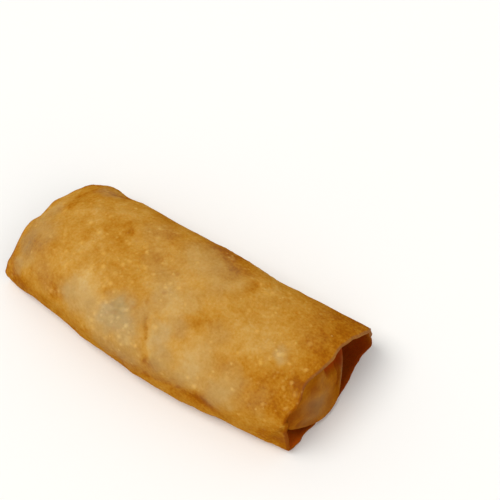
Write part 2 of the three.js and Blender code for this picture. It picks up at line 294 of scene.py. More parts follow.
# Outer wrapper
wrapper = dict(
    # how many points, and how far they crowd towards the mouths
    around=288, along=262, crowding=0.25, liningAlong=40, liningCrowding=0.6,
    # where the lining follows the outside, and over how much it evens the step
    mouthShare=0.12, stepShare=0.1,
    # the rounded, uneven cut edges of the mouths
    lipBulge=0.22, lipShares=(0.15, 0.5, 0.85), edgeWave=0.12, edgeWaveSize=3.6, edgeReach=5.0,
    edgeSeed=41,
    # the free edge: how far it overhangs, and the slot under it
    nose=0.32, noseShare=0.45, undercut=0.55, slotShare=0.85, liningShares=(0.33, 0.67),
    # swellings of the skin: height, size, seed, stretch
    swellings=((0.16, 15.0, 21, (1.6, 1, 1)), (0.07, 6.0, 22, (1.3, 1, 1)),
               (0.022, 2.0, 23, (1, 1, 1))),
    # two kinds of domes: how many, and the range of their radii and heights
    blisters=dict(count=1100, radii=(0.45, 1.15), heights=(0.04, 0.16)),
    bubbles=dict(count=90, radii=(1.4, 3.2), heights=(0.08, 0.26)),
    # a dome and its moat, in radii, and the tones it may have: below zero is light, a pale blister
    # with a painted glint, above toasted
    dome=dict(power=1.5, moat=0.18, moatAt=1.1, moatWidth=0.22, end=1.5,
              tones=(-1.0, -0.4, 0.0, 0.7), seed=11),
    # how blisters are scattered: few where they don't gather, in patches, and none on the foot
    scatter=dict(sparse=0.5, patchy=0.6, patchSize=16, patchSeed=5, fewest=0.05, footZ=(0.3, 2)),
    # the blisters and pits placed one by one, and how strong their tones are
    paleRise=0.12, pitDepth=0.1, markPower=3, markTone=1.8, strongestTone=2,
    # how finely creases are drawn, and how they and the colour patches' outlines wander
    creaseSteps=6, creaseWander=dict(depth=0.25, size=5, seeds=(31, 32, 33)),
    patchWander=dict(depth=0.55, size=4, seeds=(51, 52, 53)),
    # tones that follow the shape, painted shade and glow among them, and their limits
    tones=dict(
        # the foot and back terms darken the lower sides and the back: painted shade, partly toast
        foot=0.2, footZ=(17, 8), end=0.14, endX=(34, 50), endY=(-16, 4),
        back=0.12, backY=(11, 19), mouth=0.12, mouthX=(42, 49), mostBrowned=0.38,
        rimReach=(0.6, 0.1), paleWide=((40, 44), (-16, 2), (4, 8)), palePinched=((-40, -44), (6, 9)),
        paleRim=0.1, paleRimGrey=0.28, lipShade=0.6, lipY=(-8, -3), lipZ=(4, 2),
        turned=0.3, turnedCover=0.75, turnedReach=(1.5, 0.5), turnedY=(19, 21), turnedZ=(2.5, 4.5),
        # painted glow of the wide mouth's lining, low in its near corner
        paintedGlowY=(-9, -14), paintedGlowZ=(14, 5), thinPower=3.5, fewestBlisters=0.06,
    ),
)

# Where blisters gather: x, y, z, reach, how many times more
blisterClusters = (
    (-15, -3, 24, 11, 5), (-4, -19, 20, 6, 6), (-29, -18, 17, 4, 6), (38, -14, 20, 8, 5),
    (24, 9, 23, 6, 3), (34, -9, 23, 6, 3), (-20, 19, 14, 9, 3), (12, 18, 16, 10, 3),
    (30, 17, 12, 8, 3),
)

# The blisters that stand out most, pale and with a painted glint on top: x, y, z, radius
paleBlistersAndGlints = (
    (-18.5, -8, 24, 0.65), (-21, -4.5, 24, 0.55), (-14, -5, 24.5, 0.7), (-11, 2, 25, 0.5),
    (-8, -2.5, 25, 0.55), (-13.5, -11, 24, 0.6), (-12, -8, 24.5, 0.45), (-18, 2, 24.5, 0.45),
    (-26.5, 0.5, 23.5, 0.6), (-31, 2.5, 22.5, 0.55), (-30, -18.5, 16, 0.55), (-27, -18, 18, 0.5),
    (-6.5, -17.5, 22, 0.45), (-3, -18, 21.5, 0.6), (-4, -20.5, 19, 0.6), (-2.5, -21.5, 17.5, 0.5),
    (1.5, -20.5, 19, 0.5), (-5, -15, 23.5, 0.5), (-13.5, -20.5, 18.5, 0.55), (4.5, -15, 23, 0.65),
    (0.5, -3, 25.5, 0.45), (3.5, -3, 25.5, 0.5), (20.5, -20.5, 16, 0.65), (18, -20, 17.5, 0.5),
    (19.5, -11, 24, 0.45), (28, -2, 24.5, 0.5), (34, -9, 23.5, 0.55), (36.5, -4.5, 24, 0.6),
    (39.5, -16.5, 19.5, 0.5), (34.5, -20, 14.5, 0.5), (43.5, -9, 23, 0.55), (44.5, -4, 23, 0.5),
)
# Small dark pits: x, y, z, radius
darkPits = (
    (-4, -13.5, 24, 0.8), (0.5, 0.5, 25.5, 0.7), (1, -6, 25.5, 0.6), (-1.5, -10.5, 24.5, 0.7),
    (-10, 2.5, 25, 0.5), (-19.5, 6.5, 24, 0.8), (-16, 4, 24.5, 0.5), (13.5, 14, 22.5, 0.6),
    (14, -22.5, 15, 0.7), (-9.5, -15.5, 23, 0.5),
)

# Creases and ridges: points along each, half width, and rise (below zero is a groove)
creases = (
    (((0, -13.5, 24), (1, -15, 23), (2.5, -16.5, 22.5), (3.5, -18, 21)), 0.4, -0.45),
    (((1.5, -13, 24), (3, -14.5, 23), (4.5, -17, 22), (6.5, -20.5, 19)), 0.9, 0.3),
    (((14, 5, 25.5), (17.5, 10.5, 24), (21, 12.5, 22.5), (23.5, 14, 21.5)), 1.3, 0.22),
    (((18.5, 7, 25), (21, 11, 23.5), (24.5, 14.5, 21)), 1.3, -0.2),
    (((19, -13.5, 23), (23.5, -11, 23.5), (27.5, -9.5, 23.5), (33, -3.5, 24)), 1.5, 0.22),
    (((-38, 4, 20), (-30, 8, 21.5), (-22, 11, 21.5)), 1.4, 0.2),
    (((-34, 16, 15), (-20, 19, 14), (-8, 20, 13)), 1.3, -0.3),
    (((2, 20, 13), (16, 20.5, 14), (28, 19.5, 14.5)), 1.4, 0.26),
    (((-44, -12, 11), (-36, -16.5, 13), (-27, -19.5, 14)), 1.5, 0.18),
    (((6, -22.8, 12), (16, -22.8, 12.6), (26, -21.5, 12)), 1.6, -0.22),
)


def distanceToPath(points, path):
    nearest = np.full(len(points), 1e9)
    for a, b in zip(np.array(path[:-1], float), np.array(path[1:], float)):
        t = np.clip(((points - a) @ (b - a)) / ((b - a) @ (b - a)), 0, 1)
        nearest = np.minimum(nearest, np.linalg.norm(points - a - t[:, None] * (b - a), axis=1))
    return nearest


def searchTree(points):
    tree = kdtree.KDTree(len(points))
    for index, point in enumerate(points):
        tree.insert(point, index)
    tree.balance()
    return tree


def stampDomes(points, tree, dice, kind, weights):
    # domes with a faint moat, and a tone for each: light or toasted
    (rise, tone), d, widest = np.zeros((2, len(points))), wrapper["dome"], kind["radii"][1]
    for centre in dice.choice(len(points), size=kind["count"], p=weights / weights.sum()):
        radius = mix(*kind["radii"], dice.random() ** 2)
        height = mix(*kind["heights"], dice.random()) * radius / widest
        shade = dice.choice(d["tones"])
        found = tree.find_range(Vector(points[centre]), radius * d["end"])
        index = np.array([f[1] for f in found])
        share = np.array([f[2] for f in found]) / radius
        dome = np.clip(1 - share ** 2, 0, 1) ** d["power"]
        moat = d["moat"] * np.exp(-((share - d["moatAt"]) / d["moatWidth"]) ** 2)
        rise[index] += height * (dome - moat)
        tone[index] += shade * dome
    return rise, tone


def blisterChance(points):
    # how likely each point is to carry a blister
    c = wrapper["scatter"]
    chance = c["sparse"] + spotsTotal(points, blisterClusters)
    patches = c["patchy"] * (1 + randomWaves(points, c["patchSize"], c["patchSeed"]))
    return chance * (np.clip(patches, c["fewest"], None) * smooth(*c["footZ"], points[:, 2]))


def smallMarks(points, tree):
    # the blisters and pits placed one by one, each on the nearest point of the skin
    w, (rise, tone) = wrapper, np.zeros((2, len(points)))
    for marks, height, shade in ((paleBlistersAndGlints, w["paleRise"], -w["markTone"]),
                                 (darkPits, -w["pitDepth"], w["markTone"])):
        for *place, radius in marks:
            spot = spotAt(points, points[tree.find(Vector(place))[1]], radius, w["markPower"])
            rise += height * spot
            tone += shade * spot
    return rise, tone


def drawnOn(points, tree, path):
    # the path laid on the skin, through the nearest of its points
    knots = np.linspace(0, 1, len(path))
    between = np.linspace(0, 1, wrapper["creaseSteps"] * len(path))
    places = np.stack([np.interp(between, knots, row) for row in np.array(path).T], axis=1)
    return points[list(dict.fromkeys(tree.find(Vector(place))[1] for place in places))]


def creaseRise(points, tree):
    rise, wandering = np.zeros(len(points)), wandered(points, **wrapper["creaseWander"])
    for path, width, height in creases:
        away = distanceToPath(wandering, drawnOn(points, tree, path))
        rise += height * np.exp(-(away / width) ** 2)
    return rise


def crustDetail(points):
    # how far each point rises, its tone, and how deep it lies in a crease, which the material darkens
    # as painted shade
    w, tree = wrapper, searchTree(points)
    dice = np.random.default_rng(w["dome"]["seed"])
    fine, fineTone = stampDomes(points, tree, dice, w["blisters"], blisterChance(points))
    big, _ = stampDomes(points, tree, dice, w["bubbles"], np.ones(len(points)))
    marks, markTone = smallMarks(points, tree)
    crease = creaseRise(points, tree)
    rise = fine + big + marks + crease
    for height, size, seed, stretch in w["swellings"]:
        rise += height * randomWaves(points, size, seed, stretch)
    tone = np.clip(fineTone + markTone, -w["strongestTone"], w["strongestTone"])
    return rise, tone, -crease


def lining(s, share, points):
    # the lining follows the outside only near the mouths, and has no step at the free edge
    near, step = wrapper["mouthShare"], wrapper["stepShare"]
    atMouth = 1 - smooth(0, near, s) * smooth(0, near, 1 - s)
    even = share - 0.5 * smooth(1 - step, 1, share) + 0.5 * smooth(step, 0, share)
    return atMouth * (roll["sheet"] * even + relief(points)) - roll["wall"]


def outsideGrid():
    grid, normals, outside = [], [], []
    for s in stations(wrapper["along"], wrapper["crowding"]):
        points, normal, share = ringAt(s, wrapper["around"])
        grid.append(points)
        normals.append(normal)
        outside.append(roll["sheet"] * share + relief(points))
    grid, normals, outside = np.array(grid), np.array(normals), np.array(outside)
    skin = grid.reshape(-1, 3).copy()
    skin[:, 1:] += normals.reshape(-1, 2) * outside.reshape(-1, 1)
    rise, tone, creaseShade = crustDetail(skin)
    grid[..., 1:] += normals * (outside + rise.reshape(outside.shape))[..., None]
    grid[..., 2] = pressFlat(grid[..., 2])
    return grid, tone.reshape(outside.shape), creaseShade.reshape(outside.shape)


def liningGrid():
    rings = []
    for s in stations(wrapper["liningAlong"], wrapper["liningCrowding"]):
        points, normal, share = ringAt(s, wrapper["around"])
        points[:, 1:] += normal * lining(s, share, points)[:, None]
        points[:, 2] = np.maximum(roll["wall"], pressFlat(points[:, 2]))
        rings.append(points)
    return np.array(rings)


def withFreeEdge(grid, isLining):
    # each ring's last point overhangs its first: a rounded nose and a slot under it
    w = wrapper
    end, start = grid[:, -1], grid[:, 0]
    if isLining:
        nose, slot = (mix(end, start, share) for share in w["liningShares"])
    else:
        along = end - grid[:, -2]
        along /= np.linalg.norm(along, axis=1, keepdims=True)
        nose = mix(end, start, w["noseShare"]) + along * w["nose"]
        slot = mix(end, start, w["slotShare"]) - along * w["undercut"]
    return np.concatenate([grid, nose[:, None], slot[:, None]], axis=1)


def ruffleEdges(grid):
    w = wrapper
    for side, direction in ((0, -1), (-1, 1)):
        edge = grid[side].copy()
        wave = w["edgeWave"] * randomWaves(edge, w["edgeWaveSize"], w["edgeSeed"] + side)
        depth = np.abs(grid[..., 0] - edge[None, :, 0])
        grid[..., 0] += direction * wave[None] * np.exp(-(depth / w["edgeReach"]) ** 2)
    return grid


def roundedLip(outer, inner, direction):
    # rings round the cut edge of the sheet, from the outside in
    lip = []
    for share in wrapper["lipShares"]:
        ring = mix(outer, inner, share)
        ring[:, 0] += direction * wrapper["lipBulge"] * math.sin(math.pi * share)
        lip.append(ring)
    return np.array(lip)


def makeOuterWrapper():
    grid, tone, creaseShade = outsideGrid()
    grid, inner = withFreeEdge(ruffleEdges(grid), False), withFreeEdge(liningGrid(), True)
    inner[0, :, 0], inner[-1, :, 0] = grid[0, :, 0], grid[-1, :, 0]
    wideLip, pinchedLip = roundedLip(grid[-1], inner[-1], 1), roundedLip(grid[0], inner[0], -1)
    rings = np.concatenate([grid, wideLip, inner[::-1], pinchedLip[::-1]])
    return meshFromGrid("outerWrapper", rings, True, paintWrapper(rings, tone, creaseShade))


# Colour patches on the crust: x, y, z, reach, tone (above zero is browner, below paler)
crustPatches = (
    # browner, on the left end
    (-21.5, 7.5, 23.5, 1.2, 0.25), (-19.5, 5.5, 24, 1.4, 0.4), (-19.5, 2, 24, 3.5, 0.18),
    (-25, 5.5, 23, 4, 0.15), (-31, -0.5, 23, 4, 0.14), (-43, 11.5, 16, 2.2, 0.4),
    (-42.5, 6, 18, 2.6, 0.26), (-38, 13, 17.5, 5, 0.12), (-40, 17, 15.5, 3, 0.12),
    (-34, 15.5, 18, 4, 0.1), (-39, 9.5, 19, 4.5, 0.12), (-45, -9.5, 15.5, 3.4, 0.42),
    (-40, -9, 17.5, 5, 0.14), (-15.5, -3.5, 24.5, 6.5, 0.1), (-7.5, 2, 25, 1.4, 0.1),
    (-30, -18.5, 15.5, 5, 0.24), (-28.5, -19, 16, 1.5, 0.4), (-36, -15.5, 15, 5, 0.2),
    (-42.5, -18, 7.5, 3, 0.12), (-47, -17, 6.5, 2, 0.12), (-27, -16.5, 19.5, 3, 0.08),
    (-8, -16.5, 22.5, 2.5, 0.08), (-11.5, -22.5, 13.5, 2.5, 0.08),
    # browner, in the middle
    (5.5, -22, 16.5, 1, 0.35), (7.5, -22.5, 15, 3, 0.18), (7, -22, 17, 2.5, 0.14),
    (10.5, -11, 24.5, 3.2, 0.1), (15, -7.5, 25, 4, 0.09), (18, -6, 25, 3, 0.07),
    (5, -17, 22.5, 3, 0.08), (25, -12, 23, 5, 0.12), (31, -12.5, 22.5, 5, 0.18),
    (-3, -12, 24, 5, 0.06), (23, -22, 12.5, 3, 0.3), (17, 11.5, 23.5, 4.5, 0.1),
    (33, 8, 23.5, 4, 0.1),
    # browner, on the wide end
    (37, -12.5, 22, 5.5, 0.08), (42, -14, 20.5, 5.5, 0.19), (45, -9, 22, 3.5, 0.2),
    (37, -19, 16.5, 4, 0.1), (40, -9.5, 23, 3, 0.12), (42, -19.5, 12, 4, 0.12),
    (47, 13, 20.5, 2.5, 0.15), (45, -16, 18, 4, 0.22), (44.5, -18.5, 8, 5, 0.2),
    (46, -3, 23, 4, 0.26), (47.5, 8.5, 22, 3.2, 0.24), (43, 11, 22, 7, 0.12),
    (46, 3, 23, 4.5, 0.1), (46, 16, 18.5, 4.5, 0.32),
    # paler
    (-19.5, -16, 21.5, 4.6, -0.26), (-22, -12.5, 22.5, 3, -0.14), (-12, -20.5, 18.5, 3.5, -0.2),
    (-31, 3, 22.5, 2, -0.14), (-16, 3.5, 24.5, 2.5, -0.12), (-27, 0, 23.5, 1.8, -0.12),
    (-17, -9.5, 24, 3.5, -0.06), (-17, -14.5, 22.5, 3.5, -0.12), (-27, -5, 23, 5, -0.07),
    (-2, -19, 21, 4, -0.12), (6.5, -16, 22.5, 3, -0.22), (7, -19.5, 20, 3, -0.06),
    (1.5, -3, 25.5, 4, -0.08), (6, -9.5, 25, 3.5, -0.14), (15.5, -15, 23, 4, -0.14),
    (18, -19, 19, 4.5, -0.2), (20.5, -21, 16, 2.5, -0.14), (28, -20, 17, 4.5, -0.12),
    (30, -1, 24.5, 5, -0.12), (22, -5, 25, 3.5, -0.06), (27, -6, 24.5, 4, -0.08),
    (36.5, -4.5, 24, 2.4, -0.2), (3, 8, 25, 6, -0.08), (25, 8.5, 23.5, 3, -0.06),
    (8, -6.5, 25.5, 3, -0.08), (27, -10, 24, 3, -0.08), (18, -11.5, 24, 3, -0.04),
    # the back, and along the foot
    (-10, 21, 12, 6, -0.1), (24, 20, 10, 6, -0.15), (-28, 21, 8, 5, 0.2), (8, 21, 12, 5, 0.2),
    (40, 22, 12, 6, 0.2), (2, 16, 21, 5, 0.3), (11, 15, 22, 5, 0.36), (31, 18, 16, 6, 0.14),
    (-9, 10, 24, 4, 0.2), (13, 10, 24.5, 4, 0.06), (-13.5, 18, 18.5, 5, 0.14),
    (2, -22.5, 12, 6, 0.14), (25, -21.5, 11, 6, 0.06),
)

# Where the filling shows through and greys the crust: x, y, z, reach, amount
thinPatches = (
    # the grey of the near side
    (-8, -16.5, 22.5, 4.2, 0.9), (-3, -19.5, 20.5, 4, 0.7), (-9, -19.5, 20, 3.5, 0.6),
    (-13.5, -19, 20, 4, 0.45), (-20.5, -18, 20, 5, 0.45), (-25.5, -17, 19.5, 4, 0.3),
    (-1, -14, 24, 3, 0.25), (-7, -13, 24, 3.5, 0.2), (-2, -15, 23, 5, 0.15),
    (-33.5, -16.5, 16.5, 4.5, 0.2),
    (6.5, -16, 22.5, 3.2, 0.6), (6.5, -19, 20.5, 2.6, 0.35), (10, -20, 18.5, 3.5, 0.5),
    (15, -22, 14.5, 3, 0.3), (9, -22.5, 14.5, 4, 0.3), (19.5, -16.5, 21, 5, 0.35),
    (18, -20.5, 17, 4, 0.3), (27, -20.5, 16, 4.5, 0.5), (29, -15.5, 21, 4.5, 0.35),
    (32, -19, 17.5, 3.5, 0.15), (39.5, -17, 19, 4, 0.18), (0, -22, 14, 5, 0.5), (-9, -22, 14, 5, 0.4),
    # the left end
    (-46.5, -8.5, 15, 3.6, 0.45), (-44, -13, 14, 4, 0.36), (-45.5, -15, 11, 3, 0.3),
    (-46.5, -2.5, 16.5, 4, 0.35), (-41, -5, 19, 4, 0.25), (-46, 4, 16, 3, 0.4),
    (-42, -7, 17.5, 5, 0.15), (-39, -12, 17, 5, 0.2), (-36, 17, 16.5, 4, 0.3),
    # the top and the back
    (9, -12, 24, 3.5, 0.4), (2, -8, 25, 4, 0.4), (8, -4.5, 25.5, 4, 0.25), (-1, -3, 25.5, 5, 0.3),
    (12, 1.5, 25.5, 3.5, 0.2), (-8, 1.5, 25, 4, 0.18), (20, -9, 24.5, 4, 0.25),
    (36.5, -4.5, 24, 2.6, 0.5), (3, 9, 25, 7, 0.3), (12, 8, 25, 6, 0.25), (-12, 9, 24, 5, 0.2),
    (-4, 21, 14, 6, 0.6), (18, 20, 15, 5, 0.4),
    # where it stays clear
    (42, 12, 21.5, 8, -0.3), (-36, 8, 20, 5, -0.2), (-18, -5, 24.5, 7, -0.25), (44, -16, 18, 4, -0.2),
    (32, -9, 23.5, 5, -0.2), (-16.5, -0.5, 24.5, 4, -0.15), (-17.5, -10.5, 23.5, 3.5, -0.15),
)
# Where light blisters crowd: x, y, z, reach, how densely
blisterFields = (
    (-38, -15, 13, 3, 0.6), (-15, -3, 24, 7, 0.5), (-23, 0, 24, 5, 0.35), (-9, -17, 22, 6, 0.5),
    (-1, -21, 18, 5, 0.45), (-1, -5, 25.5, 5, 0.4), (12, -17, 21, 6, 0.25), (34, -10, 23, 7, 0.45),
    (41, -14, 21, 5, 0.5), (24, 10, 23.5, 6, 0.4), (35, 6, 23.5, 6, 0.3), (-20, 19, 14, 9, 0.3),
    (12, 18, 16, 10, 0.3), (30, 17, 12, 8, 0.3),
)


def crustBrowning(skin, places):
    # how brown each point is, up to a limit however many patches meet there
    t = wrapper["tones"]
    x, y, z = skin.T
    # the lower sides and the back get painted shade, partly toast
    browning = spotsTotal(places, crustPatches) + t["foot"] * smooth(*t["footZ"], z)
    browning += t["end"] * smooth(*t["endX"], x) * smooth(*t["endY"], y)
    browning += t["back"] * smooth(*t["backY"], y) + t["mouth"] * smooth(*t["mouthX"], x)
    most = t["mostBrowned"]
    return np.minimum(browning, most * np.tanh(browning / most))


def widened(values, shape):
    # values of the outside, and none on the free edge, the lips and the lining
    whole = np.zeros(shape)
    whole[:values.shape[0], :values.shape[1]] = values
    return whole


def rimAt(rings, outsideCount):
    # 1 on the cut edges of the mouths
    rim = np.zeros(rings.shape[:2])
    lipCount = len(wrapper["lipShares"])
    rim[outsideCount:outsideCount + lipCount] = 1
    rim[-lipCount:] = 1
    for edge in (0, outsideCount - 1):
        away = np.abs(rings[:outsideCount, :, 0] - rings[edge, :, 0])
        rim[:outsideCount] += smooth(*wrapper["tones"]["rimReach"], away)
    return rim


def paleRimAt(rings, rim):
    # the upper edges of both mouths are pale
    x, y, z = np.moveaxis(rings, -1, 0)
    (wideX, wideY, wideZ), (farX, farZ) = (wrapper["tones"][k] for k in ("paleWide", "palePinched"))
    wide = smooth(*wideY, y) * smooth(*wideX, x) * smooth(*wideZ, z)
    return rim * (wide + smooth(*farX, x) * smooth(*farZ, z))


def turnedAt(rings, outsideCount):
    # at the back corner of the wide mouth the crust turns in over the edge
    t = wrapper["tones"]
    x, y, z = np.moveaxis(rings, -1, 0)
    turned = smooth(*t["turnedReach"], rings[outsideCount - 1, :, 0] - x)
    turned *= smooth(*t["turnedY"], y) * smooth(*t["turnedZ"], z) * (x > 0)
    turned[:outsideCount] = 0
    return turned


def paintedShadeAt(rings, outsideCount, rim, turned):
    # painted shade: 1 on the lining, which takes the deep shade colour, less where crust turns in; the
    # wide mouth's lower lip gets painted shade too
    t = wrapper["tones"]
    x, y, z = np.moveaxis(rings, -1, 0)
    lipCount = len(wrapper["lipShares"])
    inside = np.zeros(rings.shape[:2])
    inside[outsideCount + lipCount:-lipCount] = 1
    lowerLip = rim * smooth(*t["lipY"], y) * smooth(*t["lipZ"], z) * (x > 0)
    return np.maximum(inside, t["lipShade"] * lowerLip) * (1 - t["turnedCover"] * turned)


def paintWrapper(rings, tone, creaseShade):
    # the value of each mark at each point, which the crust's material reads
    t, shape, outsideCount = wrapper["tones"], rings.shape[:2], len(tone)
    skin = rings.reshape(-1, 3)
    places = wandered(skin, **wrapper["patchWander"])
    rim = rimAt(rings, outsideCount)
    pale = paleRimAt(rings, rim)
    rim[:outsideCount, -2] = 1      # and on the nose of the free edge
    turned = turnedAt(rings, outsideCount)
    browning = crustBrowning(skin, places).reshape(shape)
    browning += t["turned"] * turned - t["paleRim"] * pale
    thin = spotsTotal(places, thinPatches, t["thinPower"]).reshape(shape)
    # painted shade on the lining and on the wide mouth's lower lip
    inside = paintedShadeAt(rings, outsideCount, rim, turned)
    # painted glow: light seeming to come through the sheet low in the wide mouth's near corner
    paintedGlow = inside * smooth(*t["paintedGlowY"], rings[..., 1]) * smooth(*t["paintedGlowZ"], rings[..., 2])
    dense = t["fewestBlisters"] + spotsTotal(places, blisterFields).reshape(shape)
    dense[outsideCount:] = 0
    return dict(browning=browning, thin=np.maximum(thin, t["paleRimGrey"] * pale),
                spots=widened(tone, shape), creaseShade=widened(creaseShade, shape),
                rim=rim, inside=inside, paintedGlow=paintedGlow, blisters=dense)


# Filled roll inside. Its two ends are superellipses like the wrapper's sections.
innerRoll = dict(
    around=288, bodyRings=46, bodyCrowding=0.8, taper=0.2,
    wide=dict(near=0.372, far=0.19, crown=-0.04, height=0.745, nearWidest=0.66, farWidest=0.55,
              topNear=3.2, topFar=4, bottomNear=1.8, bottomFar=5, lift=1.0, depth=0.5),
    pinched=dict(near=0.24, far=0.36, crown=0.04, height=0.36, nearWidest=0.45, farWidest=0.45,
                 topNear=2.2, topFar=2.3, bottomNear=2.3, bottomFar=2.3, lift=1.45, depth=6.0),
    lean=3.4, leanY=(1, 22),                          # the back of the pinched end is drawn in
    shear=0.25, shearFrom=8.0, shearY=(-2, 5),        # the wide end leans over the gap beside it
    # the ends are closed by rings that shrink to a tip: their sizes and how far each stands out
    cap=dict(rings=60, power=0.85, sizes=(1, 0.985, 0.965, 0.9, 0.6, 0),
             out=(-0.5, -0.15, 0, 0.1, 0.3, 0.35), foldsFrom=(1, 0.85), lumpsFrom=(1, 0.9),
             lumps=((0.18, 7, 61), (0.05, 2.4, 62))),
    # the tucked flap at the back of the wide end: a ridge with a groove inside it
    flap=dict(sizes=(1, 0.98, 0.95, 0.915, 0.87, 0.82, 0.74, 0),
              shape=(0, 0.7, 1, 0.7, -0.9, -1, 0, 0), rise=0.5, behind=(0.6, 0.9)),
    # the wide end leans in with height, falls back at the front, and rests on the lip
    face=dict(x=49.6, lean=0.2, leanFrom=5.0, nearBack=1.7, nearY=(-3, -15), nearFoot=0.6,
              nearZ=(6, 14), foot=1.1, footY=0.5, footReach=8.0, footZ=(6, 1)),
    # its sunken upper back corner, and the thin lip behind that
    dent=dict(nearY=1.8, lowZ=13.2, slope=0.45, slopeY=3, soft=1.6, depth=1.2,
              lipY=7.6, lipZ=8, lipSlope=0.25, lipTop=14.5, lipSoft=0.4, inside=(0.95, 0.88)),
    # the sunken corner of the wide end gets painted shade from dentX on
    tones=dict(faceX=(40, 43), pinchedX=(-36, -39), dentX=(43, 46), hidden=0.25,
               # glow is the painted glow laid on the sunken corner
               hiddenX=((46, 40), (-44, -38)), flap=0.2, flapGrey=0.35, paintedGlow=0.15),
)

# Soft pleats over the ends: from (y, z) to (y, z), half width, rise
widePleats = (
    ((-3, 14), (2, 8), 1.4, 0.4), ((-8.5, 10), (-6.5, 7), 1.4, 0.35),
    ((-6.5, 7), (-4, 4), 1.3, 0.35), ((-7, 12.5), (-3, 6.5), 1.4, -0.3),
    ((-12, 8), (-7, 3), 1.4, -0.3), ((0.5, 4.5), (6, 3), 1.3, -0.2),
    ((-2, 9), (5, 6.5), 1.3, -0.25),
)
pinchedPleats = (
    ((-8, 4.5), (14, 6.0), 0.9, -0.7), ((-6, 7.5), (12, 8.5), 1.0, 0.5),
    ((-2, 3.0), (10, 2.6), 0.8, 0.4), ((2, 10), (5, 2), 1.1, -0.4),
)
# Tone of the tucked skin there: y, z, reach, browner or paler, and how much the filling greys it; the
# browner ones along the near wall and under the top rim are painted shade
faceTonesAndShade = (
    (-7.5, 12.5, 3, 0, 0.2), (-3, 8, 4.5, 0, 0.4), (-9, 6, 3, -0.04, 0.15),
    (-0.5, 15.5, 2.5, 0, 0.12), (-4, 16.5, 2, 0.12, 0), (-16, 15, 2.4, 0.3, 0),
    (-12, 16, 3, 0.06, 0), (-7, 9.5, 2.5, 0.1, 0), (5.5, 8, 2.5, 0.08, 0),
)


def pleatsAt(y, z, pleats):
    rise = np.zeros_like(y)
    place = np.stack([y, z, np.zeros_like(y)], axis=1)
    for a, b, width, height in pleats:
        away = distanceToPath(place, ((*a, 0.0), (*b, 0.0)))
        rise += height * np.exp(-(away / width) ** 2)
    return rise


def dentAt(y, z):
    # 1 where the corner is sunken, and 0 on the thin lip behind it
    d = innerRoll["dent"]
    above = smooth(-d["soft"], d["soft"], z - d["lowZ"] + d["slope"] * (y - d["slopeY"]))
    pastLip = y - d["lipY"] - d["lipSlope"] * (z - d["lipZ"])
    lip = smooth(-d["lipSoft"], d["lipSoft"], pastLip) * smooth(d["lipTop"] + 1, d["lipTop"] - 1, z)
    return above * smooth(d["nearY"] - 1, d["nearY"] + 1, y) * (1 - lip)


def wideFaceAt(y, z):
    f = innerRoll["face"]
    foot = f["foot"] * np.exp(-((y - f["footY"]) / f["footReach"]) ** 2) * smooth(*f["footZ"], z)
    near = smooth(*f["nearY"], y) * (1 - f["nearFoot"] * smooth(*f["nearZ"], z))
    return f["x"] - f["lean"] * (z - f["leanFrom"]) + foot - f["nearBack"] * near


def insideSleeve(s):
    # where the roll runs just clear of the lining: x of each point, and its ring
    n, wall = innerRoll["around"], roll["wall"]
    ring = outline(sectionAt(s), seamAlong(s), n)
    x = mix(pinchedRim(*ring.T), wideRim(*ring.T), s)
    out = lining(s, np.linspace(0, 1, n + 1), np.column_stack([x, ring]))
    near = ring + outwardNormals(ring) * (np.minimum(out, -wall) - roll["gap"])[:, None]
    near[:, 1] = np.maximum(wall + roll["gap"], pressFlat(near[:, 1]))
    return x, near


def bodyRing(t):
    # t runs from 0 at the pinched end to 1 at the wide one
    r, n = innerRoll, innerRoll["around"]
    first, last = r["pinched"]["depth"] / roll["length"], 1 - r["wide"]["depth"] / roll["length"]
    x, near = insideSleeve(mix(first, last, t))
    narrow = max(smooth(1 - r["taper"], 1, t), smooth(r["taper"], 0, t))
    end = r["wide"] if t > 0.5 else r["pinched"]
    tucked = outline(end, 0.5, n) + (0, end["lift"])
    if t > 0.5:
        over = r["shear"] * (tucked[:, 1] - r["shearFrom"])
        tucked[:, 0] += over * smooth(*r["shearY"], tucked[:, 0])
        mouth = outline(sectionAt(last), seamAlong(1), n)
        x = x + narrow * (wideFaceAt(*tucked.T) - wideRim(*mouth.T))
    ring = mix(near, tucked, narrow)
    if t < 0.5:
        x = x + r["lean"] * smooth(*r["leanY"], ring[:, 0]) * narrow
    return np.column_stack([x, ring])[:-1]


def flapAt(ring, size):
    # 1 on the flap's ridge and down to -1 in the groove
    f, fromMiddle = innerRoll["flap"], ring[:, 1] - ring[:, 1].mean()
    behind = smooth(*f["behind"], fromMiddle / fromMiddle.max())
    return behind * np.interp(size, f["sizes"][::-1], f["shape"][::-1])


def capSizes():
    cap = innerRoll["cap"]
    return np.linspace(1, 0, cap["rings"] + 1)[1:-1] ** cap["power"]


def capFolds(points, size, pleats):
    cap = innerRoll["cap"]
    lumps = sum(rise * randomWaves(points, reach, seed) for rise, reach, seed in cap["lumps"])
    folds = pleatsAt(points[:, 1], points[:, 2], pleats) * smooth(*cap["foldsFrom"], size)
    return folds + lumps * smooth(*cap["lumpsFrom"], size)


def capBulge(size):
    cap = innerRoll["cap"]
    return np.interp(size, cap["sizes"][::-1], cap["out"][::-1])


def pinchedCap(edge):
    rings = []
    for size in capSizes():
        ring = mix(edge.mean(axis=0), edge, size)
        ring[:, 0] -= capBulge(size) - capBulge(1) + capFolds(ring, size, pinchedPleats)
        rings.append(ring)
    return np.array(rings)


def wideCap(edge):
    rings, dent = [], innerRoll["dent"]
    for size in capSizes():
        ring = mix(edge.mean(axis=0), edge, size)
        y, z = ring[:, 1:].T
        sunken = dent["depth"] * dentAt(y, z) * smooth(*dent["inside"], size)
        out = capBulge(size) + innerRoll["flap"]["rise"] * flapAt(edge, size) - sunken
        ring[:, 0] = wideFaceAt(y, z) + out + capFolds(ring, size, widePleats)
        rings.append(ring)
    return np.array(rings)


def tipOf(cap, edge):
    return (cap[-1][:, 0].mean(), *edge.mean(axis=0)[1:])


